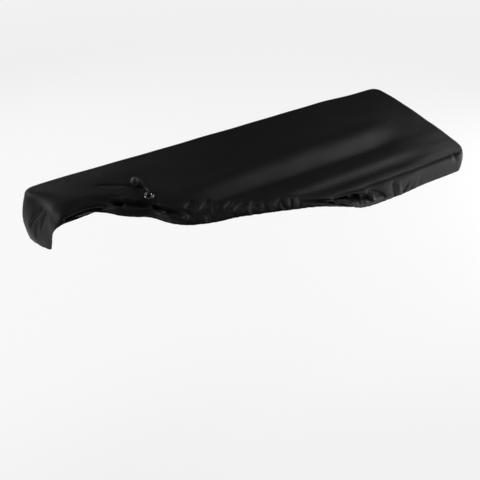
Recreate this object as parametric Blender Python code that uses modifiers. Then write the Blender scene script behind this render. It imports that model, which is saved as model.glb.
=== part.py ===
"""Fitted stretch dust cover for a 54-white-key portable keyboard, left front corner pulled back.

Lengths in the tables are millimetres in the keyboard's own corner frame: x from its left end,
y from its front, z from its underside. The finished objects are in metres, with the origin at
the point under the top cloth where the keyboard holds the cover up.
"""
import bmesh
import bpy
import numpy as np
from mathutils import Matrix, Vector
from mathutils.bvhtree import BVHTree

MM = 0.001
ORIGIN = np.array([540.0, 280.0, 94.0])      # where the keyboard's top carries the cloth

CLOTH_THICKNESS = 2.0
COLUMNS = 56                                 # mesh columns along the length
COURSES = 20                                 # mesh courses across the top, front to back
LEFT_X, RIGHT_X = -11.0, 1074.0               # top edge at the two ends
BACK_Y, FRONT_Y = 366.0, 8.0                 # top edge at the back and at the right of the front
HEM_RIGHT_X, HEM_BACK_Y = 1082.0, 378.0
HEM_Z = -3.0                                 # hem just under the keyboard's underside
HEM_BACK_LEFT = (-18.0, -13.0)               # x and z of the hem at the slack back left corner
TOP_CORNER_RADIUS = 20.0
HEM_CORNER_RADIUS = 32.0
LEFT_FRONT_RADIUS = 38.0
LEFT_DROOP = (52.0, 9.0, 3.0)               # the top sinks into the left end: width, front, back
BELLY = {"left": 12.0, "right": 7.0, "long": 3.0}   # how far the walls bow out at half height
SIDE_HEM_TUCK = 28.0                         # how far the elastic hem turns in underneath
TUCK_DROP = 1.5
LEFT_DEPTH_GAIN = 5.0                        # the back runs this much deeper at the left end
RIGHT_BACK_GAIN = 8.0                        # the right end runs this much longer at the back
FOLD_SPREAD, FOLD_DEPTH = 1.25, 0.8          # folds are a little wider and flatter in the solid
EASED_AT, EASED_REACH = (-6.0, 276.0, 78.0), 36.0   # the left front corner is evened out here
EASED_PASSES = 8

# depth, then the height of the top cloth at the right end, over the middle, at the left end
TOP_PROFILE = np.array([
    (0, 53, 53, 50),
    (10, 57.5, 55.6, 52),
    (37, 65, 57.2, 54),
    (43, 66.4, 58.4, 54.3),
    (59, 69, 64.0, 55.4),
    (64, 69.8, 65.0, 55.8),
    (74, 71.5, 65.8, 56.4),
    (95, 75, 65.9, 58),
    (112, 77, 65.6, 59.4),
    (126, 79, 66.8, 60.4),
    (133, 79.8, 69.0, 61),
    (168, 84.4, 84.2, 69),
    (175, 85.4, 86.2, 71.5),
    (225, 92, 91.2, 84),
    (262, 96, 95.0, 91),
    (320, 100, 101, 102),
    (366, 101, 106, 108),
], float)

# along the front: edge x, edge y, hem x, hem y, hem z, wall share, roll share, tuck
FRONT_RAIL = np.array([
    (-11, 272, -1, 256, 30, 0.2, 0.0, 8),
    (10, 278, 0, 245, 54, 0.0, 0.0, 8),
    (34, 285, 16, 232, 66, 0.0, 0.0, 8),
    (62, 289, 50, 241, 66, 0.0, 0.0, 10),
    (97, 288, 92, 244, 66, 0.0, 0.1, 10),
    (132, 276, 125, 229, 65, 0.0, 0.5, 10),
    (165, 254, 150, 203, 62, 0.0, 0.9, 10),
    (195, 228, 178, 184, 58, 0.0, 1.0, 10),
    (228, 204, 212, 166, 54, 0.0, 1.0, 10),
    (262, 176, 236, 124, 52, 0.0, 0.9, 10),
    (295, 152, 261, 97, 52, 0.0, 0.6, 10),
    (330, 134, 285, 82, 52, 0.0, 0.3, 10),
    (375, 116, 331, 66, 52, 0.0, 0.0, 10),
    (420, 100, 380, 58, 52, 0.0, 0.0, 10),
    (470, 82, 434, 41, 51, 0.0, 0.0, 10),
    (520, 64, 483, 25, 50, 0.0, 0.0, 10),
    (575, 45, 532, 10, 48, 0.1, 0.0, 12),
    (635, 28, 587, -3, 42, 0.3, 0.0, 14),
    (700, 16, 655, -7, 20, 0.6, 0.0, 20),
    (760, 10, 722, -6, -3, 1.0, 0.0, 26),
    (830, 8, 812, -6, -9, 1.0, 0.0, 28),
    (940, 8, 940, -6, -4, 1.0, 0.0, 28),
    (1040, 8, 1044, -6, -3, 1.0, 0.0, 28),
    (1074, 8, 1082, -6, -3, 1.0, 0.0, 28),
], float)

# down the left end, front to back: edge y, hem x, hem y, hem z, tuck
LEFT_RAIL = np.array([
    (272, -1, 256, 30, 8),
    (276, -1, 260, 10, 10),
    (283, -3, 265, -7, 18),
    (296, -11, 284, -13, 26),
    (316, -18, 315, -17, 28),
    (342, -22, 350, -17, 28),
    (366, -18, 378, -13, 28),
], float)

# skirt courses as shares of the way from edge to hem: wall out, wall down,
# rounded-over out and down, rolled-back out and down
SKIRT_COURSES = np.array([
    (0.50, 0.03, 0.20, 0.04, 0.14, 0.08),
    (0.85, 0.10, 0.40, 0.12, 0.28, 0.28),
    (1.00, 0.24, 0.58, 0.24, 0.42, 0.50),
    (1.00, 0.45, 0.74, 0.40, 0.56, 0.42),
    (1.00, 0.68, 0.87, 0.58, 0.72, 0.40),
    (1.00, 0.88, 0.96, 0.80, 0.90, 0.62),
    (0.98, 1.00, 1.00, 1.00, 1.00, 1.00),
])
# hem tuck courses: share of the tuck, share of the drop
TUCK_COURSES = np.array([(0.25, 1.0), (0.60, 1.0), (1.0, 0.0)])

# one fold a row: start x, y, z, end x, y, z, half width, height (minus is a crease)
FOLDS = np.array([
    (-2, 283, 94, -24, 307, 52, 8, -6),       # left end, slanting down
    (-14, 272, 80, -14, 288, 42, 7, -4),
    (-8, 280, 82, -20, 300, 24, 7, 4),
    (-15, 293, 62, -22, 310, 11, 7, -5),
    (146, 306, 98, 215, 267, 92, 8, -3),      # wrinkles on the top, left of the cord lock
    (145, 290, 96, 204, 251, 89, 8, 3),
    (154, 247, 85, 199, 214, 80, 8, 3),
    (166, 231, 79, 204, 204, 73, 9, -5),      # creases above the rolled-back hem
    (204, 204, 73, 242, 153, 66, 9, -6),
    (242, 153, 66, 272, 122, 62, 9, -5),
    (175, 228, 80, 228, 189, 72, 9, 4),
    (239, 189, 78, 291, 122, 63, 10, 5),
    (233, 152, 67, 277, 99, 59, 8, 3),
    (315, 156, 70, 300, 131, 65, 14, -5),     # gathers over the keys
    (347, 132, 67, 321, 120, 65, 8, -6),
    (313, 121, 65, 318, 90, 61, 8, 5),
    (318, 90, 61, 311, 77, 56, 8, -4),
    (351, 102, 65, 364, 87, 64, 10, -5),
    (372, 99, 66, 413, 92, 66, 9, 4),
    (372, 78, 62, 400, 72, 62, 9, -5),
    (429, 76, 64, 413, 48, 52, 8, 4),
    (440, 72, 64, 422, 45, 52, 9, -5),
    (501, 52, 62, 473, 34, 55, 8, -5),
    (501, 48, 61, 487, 27, 54, 8, 4),
    (507, 49, 61, 501, 22, 53, 8, -5),
    (562, 28, 56, 602, 3, 52, 9, 4),          # twist where the hem drops over the front
    (602, 3, 52, 660, -8, 27, 9, 5),
    (660, -8, 27, 708, -8, 7, 9, 4),
    (644, -3, 49, 672, -9, 38, 14, -8),
    (710, -9, 37, 733, -10, 27, 13, -9),
    (745, -10, 35, 750, -9, 8, 8, 5),
    (743, -9, 41, 785, -11, 16, 12, -7),
    (798, -11, 30, 797, -9, 6, 9, 4),         # gathers in the front skirt
    (819, -11, 28, 820, -9, 4, 10, -6),
    (834, -11, 27, 838, -8, 1, 9, 4),
    (857, -10, 17, 853, -8, -1, 9, -5),
    (1038, -1, 54, 1040, -8, 41, 9, -5),      # pucker at the right front corner
], float)

EYELET_AT = (233.2, 210.8)                   # plan position of the eyelet's middle
LOCK_AT = (223.1, 263.3)                     # plan position of the cord lock's middle
EYELET_RADIUS, EYELET_WIRE = 9.0, 3.4
EYELET_FLATNESS = 0.62
LOCK_RADIUS, LOCK_BORE = 10.8, 3.6
LOCK_SEAT = 6.0                              # the ball bridges this much of the cloth
CORD_RADIUS = 1.25
CORD_SPACING = 3.2                           # between the middles of the two strands
CORD_POINTS = 32
LOCK_HOLD = (13.0, 24.0)                     # the cord is straight nearer the lock than this
SEAT_GAP = 0.5                               # clear of the cloth's flat facets
TAIL_RADIUS = 0.7
TAIL_POINTS = 7

# the doubled cord's middle line, from its cut ends through the lock to the eyelet:
# plan x and y, height above the cloth
CORD_ROUTE = np.array([
    (218.8, 250.0, 11.3),
    (223.1, 263.3, 11.3),
    (225.8, 271.6, 11.3),
    (226.9, 275.0, 10.9),
    (228.8, 278.6, 9.9),
    (232.1, 280.8, 8.6),
    (236.0, 280.9, 7.3),
    (239.5, 279.0, 6.2),
    (241.6, 275.4, 5.3),
    (242.1, 270.4, 4.6),
    (241.5, 262.8, 3.8),
    (240.4, 254.0, 3.1),
    (239.7, 245.0, 2.8),
    (239.3, 237.5, 2.8),
    (238.6, 230.5, 4.0),
    (237.4, 224.5, 5.9),
    (235.9, 219.2, 6.7),
    (234.9, 215.8, 5.4),
    (234.3, 212.6, 2.9),
])

# short ends of the elastic lying on the cloth: plan start, plan end
TAILS = {
    "cord_tail_side": ((245.6, 220.2), (264.2, 212.4)),
    "cord_tail_front": ((236.9, 197.0), (231.4, 186.6)),
}

COLOURS = {
    "cloth": (0.014, 0.014, 0.015, 0.78, 0.0),
    "eyelet": (0.02, 0.02, 0.022, 0.2, 0.0),
    "lock": (0.035, 0.035, 0.037, 0.5, 0.0),
    "cord": (0.018, 0.018, 0.02, 0.6, 0.0),
}


def spline(at, knots, values):
    """Cubic through the table's rows, slopes averaged from the two neighbouring spans."""
    span = np.diff(knots)
    rise = np.diff(values, axis=0) / span[:, None]
    slope = np.concatenate([rise[:1], rise, rise[-1:]])
    weight = np.concatenate([[1.0], span, [1.0]])[:, None]
    slope = (slope[:-1] * weight[1:] + slope[1:] * weight[:-1]) / (weight[1:] + weight[:-1])
    k = np.clip(np.searchsorted(knots, at, side="right") - 1, 0, len(knots) - 2)
    s = np.clip((at - knots[k]) / span[k], 0.0, 1.0)[..., None]
    h = span[k][..., None]
    return ((2 * s**3 - 3 * s**2 + 1) * values[k] + (s**3 - 2 * s**2 + s) * h * slope[k]
            + (3 * s**2 - 2 * s**3) * values[k + 1] + (s**3 - s**2) * h * slope[k + 1])


def smooth_step(value, low, high):
    t = np.clip((value - low) / (high - low), 0.0, 1.0)
    return t * t * (3.0 - 2.0 * t)


def top_height(x, y):
    """Height of the top cloth: the middle's profile eases into each end's own."""
    ends = spline(y, TOP_PROFILE[:, 0], TOP_PROFILE[:, 1:])
    right = smooth_step(x, 860.0, 1020.0)
    left = 1.0 - smooth_step(x, 150.0, 400.0)
    level = ends[..., 1] * (1.0 - right - left) + ends[..., 0] * right + ends[..., 2] * left
    width, front, back = LEFT_DROOP
    droop = np.clip(1.0 - (x - LEFT_X) / width, 0.0, 1.0)**2
    return level - (front + (back - front) * smooth_step(y, 285.0, 350.0)) * droop


def round_corners(x, y, radius, left_front):
    """Square plan corners drawn in to arcs by the square-to-disc map."""
    corners = [(1, 1, RIGHT_X, BACK_Y, radius), (-1, 1, LEFT_X, BACK_Y, radius),
               (1, -1, RIGHT_X, FRONT_Y, radius)]
    if left_front:
        corners.append((-1, -1, LEFT_X, FRONT_RAIL[0, 1], LEFT_FRONT_RADIUS))
    for sx, sy, edge_x, edge_y, r in corners:
        inset = LEFT_FRONT_RADIUS if (sx, sy) == (-1, -1) else TOP_CORNER_RADIUS
        cx, cy = edge_x - sx * inset, edge_y - sy * inset
        a, b = (x - cx) * sx / r, (y - cy) * sy / r
        inside = (a > 0) & (b > 0)
        draw_a = np.sqrt(np.maximum(1.0 - b**2 / 2.0, 0.3))
        draw_b = np.sqrt(np.maximum(1.0 - a**2 / 2.0, 0.3))
        x, y = (np.where(inside, cx + sx * a * draw_a * r, x),
                np.where(inside, cy + sy * b * draw_b * r, y))
    return x, y


def rails(columns, courses):
    """Edge and hem points once round the cover, from the left front corner to the right."""
    share = np.linspace(0.0, 1.0, columns + 1)
    along = np.interp(share, (0, .05, .14, .66, .81, .95, 1),
                      (LEFT_X, 14, 130, 560, 760, 1054, RIGHT_X))
    across = np.interp(np.linspace(0.0, 1.0, courses + 1), (0, .2, .9, 1), (0, .13, .94, 1))
    front = spline(along, FRONT_RAIL[:, 0], FRONT_RAIL)
    inner = across[1:-1]

    right_y = FRONT_Y + (BACK_Y - FRONT_Y) * inner
    right_hem_y = FRONT_RAIL[-1, 3] + (HEM_BACK_Y - FRONT_RAIL[-1, 3]) * inner
    whole = np.ones_like(inner)
    right = np.stack([RIGHT_X * whole, right_y, HEM_RIGHT_X + 4.0 * inner, right_hem_y,
                      HEM_Z * whole, whole, 0 * whole, SIDE_HEM_TUCK * whole], 1)

    back_x = along[::-1]
    way = (back_x - LEFT_X) / (RIGHT_X - LEFT_X)
    slack = 1.0 - smooth_step(back_x, 8.0, 240.0)
    whole = np.ones_like(way)
    back = np.stack([back_x, BACK_Y * whole,
                     HEM_BACK_LEFT[0] + (HEM_RIGHT_X + 4.0 - HEM_BACK_LEFT[0]) * way,
                     HEM_BACK_Y * whole, HEM_Z + (HEM_BACK_LEFT[1] - HEM_Z) * slack,
                     whole, 0 * whole, SIDE_HEM_TUCK * whole], 1)

    left_y = (front[0, 1] + (BACK_Y - front[0, 1]) * inner)[::-1]
    hem = spline(left_y, LEFT_RAIL[:, 0], LEFT_RAIL)
    wall = 0.2 + 0.8 * smooth_step(left_y, 272.0, 320.0)
    left = np.stack([np.full_like(left_y, LEFT_X), left_y, hem[:, 1], hem[:, 2], hem[:, 3],
                     wall, 0 * wall, hem[:, 4]], 1)
    return np.concatenate([front, right, back, left]), along, across, front[:, 1]


def sway(points):
    """The cloth's slack: a deeper left end and a longer right end towards the back."""
    x, y = points[..., 0].copy(), points[..., 1].copy()
    points[..., 1] += LEFT_DEPTH_GAIN * smooth_step(y, 240.0, BACK_Y) * (1.0 - x / RIGHT_X)
    points[..., 0] += RIGHT_BACK_GAIN * smooth_step(x, 600.0, RIGHT_X) * (y / BACK_Y)
    return points


def cloth_sheet(columns, courses):
    """Outer face of the cloth: a grid for the top, then courses down the skirt and hem."""
    rail, along, across, edge_y = rails(columns, courses)
    x = np.repeat(along[:, None], courses + 1, 1)
    y = edge_y[:, None] + (BACK_Y - edge_y[:, None]) * across[None, :]
    x, y = round_corners(x, y, TOP_CORNER_RADIUS, True)
    top = np.stack([x, y, top_height(x, y)], 2)

    edge_x, edge_y = round_corners(rail[:, 0], rail[:, 1], TOP_CORNER_RADIUS, True)
    hem_x, hem_y = round_corners(rail[:, 2], rail[:, 3], HEM_CORNER_RADIUS, False)
    edge = np.stack([edge_x, edge_y, top_height(edge_x, edge_y)], 1)
    hem = np.stack([hem_x, hem_y, rail[:, 4]], 1)
    wall, roll, tuck = rail[:, 5:6], rail[:, 6:7], rail[:, 7:8]
    out = (hem - edge)[:, :2]
    out /= np.linalg.norm(out, axis=1)[:, None]
    end_share = np.where(out[:, :1] > 0, BELLY["right"], BELLY["left"])
    belly = (end_share * out[:, :1]**2 + BELLY["long"] * out[:, 1:]**2) * wall

    rings = []
    for row in SKIRT_COURSES:
        away = wall * row[0] + (1 - wall) * (row[2] * (1 - roll) + row[4] * roll)
        down = wall * row[1] + (1 - wall) * (row[3] * (1 - roll) + row[5] * roll)
        ring = edge + (hem - edge) * np.concatenate([away, away, down], 1)
        ring[:, :2] += out * belly * np.sin(np.pi * np.clip(down, 0.0, 1.0))
        rings.append(ring)
    for share, drop in TUCK_COURSES:
        ring = hem.copy()
        ring[:, :2] -= out * tuck * share
        ring[:, 2:] -= TUCK_DROP * drop * wall
        rings.append(ring)
    return sway(top), [sway(ring) for ring in rings]


def sheet_mesh(top, rings):
    """Vertices and outward quads: the top grid, then each ring joined to the one above."""
    columns, courses = top.shape[0] - 1, top.shape[1] - 1
    index = np.arange(top.shape[0] * top.shape[1]).reshape(top.shape[:2])
    faces = np.stack([index[:-1, :-1], index[1:, :-1], index[1:, 1:], index[:-1, 1:]], 2)
    faces = [faces.reshape(-1, 4)]
    loop = np.concatenate([index[:, 0], index[columns, 1:-1], index[::-1, courses],
                           index[0, -2:0:-1]])
    count = index.size
    for ring in rings:
        lower = np.arange(count, count + len(ring))
        faces.append(np.stack([loop, lower, np.roll(lower, -1), np.roll(loop, -1)], 1))
        loop, count = lower, count + len(ring)
    return np.concatenate([top.reshape(-1, 3)] + rings), np.concatenate(faces)


def vertex_normals(points, faces):
    across = points[faces[:, 2]] - points[faces[:, 0]]
    along = points[faces[:, 3]] - points[faces[:, 1]]
    face_normal = np.cross(across, along)
    normals = np.zeros_like(points)
    for corner in range(4):
        np.add.at(normals, faces[:, corner], face_normal)
    return normals / np.maximum(np.linalg.norm(normals, axis=1), 1e-9)[:, None]


def eased(points, faces):
    """Points near the left front corner drift to the mean of their neighbours."""
    here = np.concatenate([faces.ravel(), np.roll(faces, -1, 1).ravel()])
    there = np.concatenate([np.roll(faces, -1, 1).ravel(), faces.ravel()])
    count = np.bincount(here, minlength=len(points))[:, None]
    pull = np.exp(-(np.linalg.norm(points - EASED_AT, axis=1) / EASED_REACH)**2)[:, None]
    for _ in range(EASED_PASSES):
        total = np.stack([np.bincount(here, points[there, axis], len(points))
                          for axis in range(3)], 1)
        points = points + pull * (total / count - points)
    return points


def fold_heights(points):
    """Sum of the folds: each a rounded ridge or crease about its own straight line."""
    height = np.zeros(len(points))
    for row in FOLDS:
        start, end = row[:3], row[3:6]
        run = end - start
        share = np.clip((points - start) @ run / (run @ run), 0.0, 1.0)
        away = np.linalg.norm(points - start - share[:, None] * run, axis=1)
        height += row[7] * FOLD_DEPTH * np.exp(-(away / (row[6] * FOLD_SPREAD))**2)
    return height


def make_material(name):
    red, green, blue, roughness, metallic = COLOURS[name]
    material = bpy.data.materials.new(name)
    material.use_nodes = True
    shader = material.node_tree.nodes["Principled BSDF"]
    shader.inputs["Base Color"].default_value = (red, green, blue, 1.0)
    shader.inputs["Roughness"].default_value = roughness
    shader.inputs["Metallic"].default_value = metallic
    return material


def place(obj, collection, material):
    for other in list(obj.users_collection):
        other.objects.unlink(obj)
    collection.objects.link(obj)
    obj.data.materials.clear()
    obj.data.materials.append(material)
    return obj


def make_cover(collection):
    top, rings = cloth_sheet(COLUMNS, COURSES)
    points, faces = sheet_mesh(top, rings)
    points = eased(points, faces)
    points += vertex_normals(points, faces) * fold_heights(points)[:, None]
    mesh = bpy.data.meshes.new("cover_cloth")
    mesh.from_pydata(((points - ORIGIN) * MM).tolist(), [], faces.tolist())
    mesh.update()
    mesh.shade_smooth()
    cover = bpy.data.objects.new("cover_cloth", mesh)
    place(cover, collection, make_material("cloth"))
    shell = cover.modifiers.new("thickness", "SOLIDIFY")
    shell.thickness = CLOTH_THICKNESS * MM
    shell.offset = -1.0
    shell.use_rim = True
    return cover


class Surface:
    """The cloth's outer face, for setting small parts on it."""

    def __init__(self, cover):
        mesh = bmesh.new()
        mesh.from_mesh(cover.data)
        self.tree = BVHTree.FromBMesh(mesh)
        mesh.free()

    def at(self, x, y, lift):
        """Point a lift above the cloth over plan position x, y, and the cloth's normal."""
        above = Vector(((x - ORIGIN[0]) * MM, (y - ORIGIN[1]) * MM, 0.2))
        point, normal, _, _ = self.tree.ray_cast(above, Vector((0, 0, -1)))
        return point + normal * lift * MM, normal


def make_tube(name, points, radius, collection, material):
    """Round cord along points given in metres."""
    curve = bpy.data.curves.new(name, "CURVE")
    curve.dimensions = "3D"
    curve.bevel_depth = radius * MM
    curve.bevel_resolution = 2
    curve.use_fill_caps = True
    path = curve.splines.new("POLY")
    path.points.add(len(points) - 1)
    for spot, point in zip(path.points, points):
        spot.co = (*point, 1.0)
    tube = bpy.data.objects.new(name, curve)
    return place(tube, collection, material)


def frame_on(point, normal, heading):
    """Matrix with Z along the normal and X along the heading laid into the surface."""
    z = normal.normalized()
    x = (heading - z * heading.dot(z)).normalized()
    y = z.cross(x)
    turn = Matrix((x, y, z)).transposed().to_4x4()
    return Matrix.Translation(point) @ turn


def ring_seat(surface, x, y, reach, lift):
    """Middle and normal of a ring or a ball's foot on the cloth, clear of the points round it."""
    turns = np.linspace(0.0, 2 * np.pi, 12, endpoint=False)
    around = [surface.at(x + reach * np.cos(a), y + reach * np.sin(a), 0.0) for a in turns]
    normal = sum((n for _, n in around), Vector()).normalized()
    middle = surface.at(x, y, 0.0)[0]
    rise = max((point - middle).dot(normal) for point, _ in around)
    return middle + normal * (rise + lift * MM), normal


def make_eyelet(surface, collection):
    lift = EYELET_WIRE * EYELET_FLATNESS + SEAT_GAP
    point, normal = ring_seat(surface, *EYELET_AT, EYELET_RADIUS, lift)
    bpy.ops.mesh.primitive_torus_add(
        major_radius=EYELET_RADIUS * MM, minor_radius=EYELET_WIRE * MM,
        major_segments=28, minor_segments=10)
    eyelet = bpy.context.object
    eyelet.name = "eyelet"
    eyelet.scale = (1.0, 1.0, EYELET_FLATNESS)
    bpy.ops.object.transform_apply(location=False, rotation=False, scale=True)
    eyelet.matrix_world = frame_on(point, normal, Vector((1, 0, 0)))
    eyelet.data.shade_smooth()
    return place(eyelet, collection, make_material("eyelet"))


def make_lock(surface, collection, cutters):
    """Ball cord lock with its bore along the doubled cord."""
    point, normal = ring_seat(surface, *LOCK_AT, LOCK_SEAT, LOCK_RADIUS + SEAT_GAP)
    heading = CORD_ROUTE[2] - CORD_ROUTE[0]
    frame = frame_on(point, normal, Vector((heading[0], heading[1], 0.0)))
    bpy.ops.mesh.primitive_uv_sphere_add(segments=24, ring_count=14, radius=LOCK_RADIUS * MM)
    lock = bpy.context.object
    lock.name = "cord_lock"
    lock.matrix_world = frame
    lock.data.shade_smooth()
    place(lock, collection, make_material("lock"))
    bpy.ops.mesh.primitive_cylinder_add(vertices=20, radius=LOCK_BORE * MM,
                                        depth=LOCK_RADIUS * 3 * MM)
    bore = bpy.context.object
    bore.name = "lock_bore_cutter"
    bore.matrix_world = frame @ Matrix.Rotation(np.pi / 2, 4, "Y")
    place(bore, cutters, lock.data.materials[0])
    bore.hide_render = True
    bore.display_type = "WIRE"
    cut = lock.modifiers.new("bore", "BOOLEAN")
    cut.operation = "DIFFERENCE"
    cut.object = bore
    return frame


def strand_points(surface, frame, side):
    """The doubled cord's route, set off to one side: straight in the lock, then on the cloth."""
    reach = np.arange(len(CORD_ROUTE), dtype=float)
    steps = np.linspace(0.0, reach[-1], CORD_POINTS)
    route = spline(steps, reach, CORD_ROUTE)
    heading = np.gradient(route[:, :2], axis=0)
    heading /= np.linalg.norm(heading, axis=1)[:, None]
    route[:, 0] -= heading[:, 1] * side * CORD_SPACING / 2
    route[:, 1] += heading[:, 0] * side * CORD_SPACING / 2
    points = []
    for x, y, lift in route:
        plan = Vector(((x - LOCK_AT[0]) * MM, (y - LOCK_AT[1]) * MM, 0.0))
        straight = frame @ Vector((plan.dot(frame.col[0].xyz), plan.dot(frame.col[1].xyz),
                                   (lift - LOCK_RADIUS - SEAT_GAP) * MM))
        free = float(smooth_step(plan.length / MM, *LOCK_HOLD))
        points.append(straight.lerp(surface.at(x, y, lift)[0], free))
    return points


def make_cords(surface, frame, collection, material):
    """Two strands from the cut ends through the lock to the eyelet, and the two tails."""
    for name, side in (("drawcord_left", 1.0), ("drawcord_right", -1.0)):
        make_tube(name, strand_points(surface, frame, side), CORD_RADIUS, collection, material)
    for name, (start, end) in TAILS.items():
        plan = np.linspace(start, end, TAIL_POINTS)
        points = [surface.at(x, y, TAIL_RADIUS + SEAT_GAP)[0] for x, y in plan]
        make_tube(name, points, TAIL_RADIUS, collection, material)


def main():
    for obj in list(bpy.data.objects):
        bpy.data.objects.remove(obj, do_unlink=True)
    collection = bpy.data.collections.new("piano_cover")
    cutters = bpy.data.collections.new("cutters")
    bpy.context.scene.collection.children.link(collection)
    bpy.context.scene.collection.children.link(cutters)
    cover = make_cover(collection)
    surface = Surface(cover)
    make_eyelet(surface, collection)
    frame = make_lock(surface, collection, cutters)
    make_cords(surface, frame, collection, make_material("cord"))


main()
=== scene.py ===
# Stretch dust cover for a portable keyboard, its left front corner pulled back.
# Plan tables are millimetres in the keyboard's own corner frame (x from its left end,
# y from its front, z from its underside); everything finished is metres in the row frame.
import math

import bpy
import numpy as np
from mathutils import Matrix, Vector
from mathutils.bvhtree import BVHTree


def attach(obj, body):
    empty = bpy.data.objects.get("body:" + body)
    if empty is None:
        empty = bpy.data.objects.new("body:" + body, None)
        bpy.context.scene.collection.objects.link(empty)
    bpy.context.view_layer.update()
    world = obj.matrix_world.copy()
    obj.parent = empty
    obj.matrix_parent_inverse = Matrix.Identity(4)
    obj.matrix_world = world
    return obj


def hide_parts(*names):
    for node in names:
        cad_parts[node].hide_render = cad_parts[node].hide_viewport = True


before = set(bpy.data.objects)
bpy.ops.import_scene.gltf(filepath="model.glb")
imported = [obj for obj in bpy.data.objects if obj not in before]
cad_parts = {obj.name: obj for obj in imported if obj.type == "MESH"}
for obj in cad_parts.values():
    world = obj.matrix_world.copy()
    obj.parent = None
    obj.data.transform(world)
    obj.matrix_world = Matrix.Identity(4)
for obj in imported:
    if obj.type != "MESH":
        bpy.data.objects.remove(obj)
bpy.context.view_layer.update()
print("frame loaded:", ", ".join(sorted(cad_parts)))

mm = 0.001
origin = np.array([540.0, 280.0, 94.0])  # where the keyboard's top carries the cloth

viewpoint = {
    "place": (-1.137, -1.67285, 1.02925),
    "azimuth": -34.22,
    "elevation": 32.98,
    "lens": 65.456,
    "sensorWidth": 36.0,
    "clipping": (0.01, 200.0),
}


def directionOf(azimuth, elevation):
    # unit vector away from the object: azimuth 0 in front, 90 at the right, in degrees
    a, e = math.radians(azimuth), math.radians(elevation)
    return Vector((math.sin(a) * math.cos(e), -math.cos(a) * math.cos(e), math.sin(e)))


def addTurned(name, data, place, back):
    # a camera or lamp at a place, looking away from the direction at its back
    turned = bpy.data.objects.new(name, data)
    turned.location = place
    turned.rotation_mode = "QUATERNION"
    turned.rotation_quaternion = back.to_track_quat("Z", "Y")
    bpy.context.scene.collection.objects.link(turned)
    return turned


def addCamera():
    data = bpy.data.cameras.new("camera")
    data.lens = viewpoint["lens"]
    data.sensor_width = viewpoint["sensorWidth"]
    data.clip_start, data.clip_end = viewpoint["clipping"]
    back = directionOf(viewpoint["azimuth"], viewpoint["elevation"])
    bpy.context.scene.camera = addTurned("camera", data, viewpoint["place"], back)


addCamera()
print("camera placed")


def curveThrough(at, knots, values):
    # cubic between the rows of a table: each row's slope is the mean of the slopes beside it,
    # weighted by the other span's length, and the end values and slopes are blended by the
    # Hermite polynomials of s, the share of the way across the span
    span = np.diff(knots)
    rise = np.diff(values, axis=0) / span[:, None]
    slope = np.concatenate([rise[:1], rise, rise[-1:]])
    weight = np.concatenate([[1.0], span, [1.0]])[:, None]
    slope = (slope[:-1] * weight[1:] + slope[1:] * weight[:-1]) / (weight[1:] + weight[:-1])
    k = np.clip(np.searchsorted(knots, at, side="right") - 1, 0, len(knots) - 2)
    s = np.clip((at - knots[k]) / span[k], 0.0, 1.0)[..., None]
    h = span[k][..., None]
    return ((2 * s**3 - 3 * s**2 + 1) * values[k] + (s**3 - 2 * s**2 + s) * h * slope[k]
            + (3 * s**2 - 2 * s**3) * values[k + 1] + (s**3 - s**2) * h * slope[k + 1])


def easeStep(value, low, high):
    # 0 up to low, 1 from high on, and 3 t^2 - 2 t^3 of the share t between them
    t = np.clip((value - low) / (high - low), 0.0, 1.0)
    return t * t * (3.0 - 2.0 * t)


def newMesh(name, points, faces, material, uvMaps=None, body="root"):
    # one mesh object from whole arrays: points (metres), quads, and maps of one u, v per point
    mesh = bpy.data.meshes.new(name)
    mesh.from_pydata(points.tolist(), [], faces.tolist())
    corners = np.zeros(len(mesh.loops), dtype=np.int64)
    mesh.loops.foreach_get("vertex_index", corners)
    for mapName, uv in (uvMaps or {}).items():
        layer = mesh.uv_layers.new(name=mapName)
        layer.data.foreach_set("uv", uv[corners].astype(np.float32).ravel())
    mesh.shade_smooth()
    mesh.update()
    piece = bpy.data.objects.new(name, mesh)
    bpy.context.scene.collection.objects.link(piece)
    mesh.materials.append(material)
    if body:
        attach(piece, body)
    return piece


def pointNormals(points, faces):
    # each point's normal is the sum of its quads' area vectors, made one long
    across = points[faces[:, 2]] - points[faces[:, 0]]
    along = points[faces[:, 3]] - points[faces[:, 1]]
    area = np.cross(across, along)
    normals = np.zeros_like(points)
    for corner in range(4):
        np.add.at(normals, faces[:, corner], area)
    return normals / np.maximum(np.linalg.norm(normals, axis=1), 1e-9)[:, None]


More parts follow.
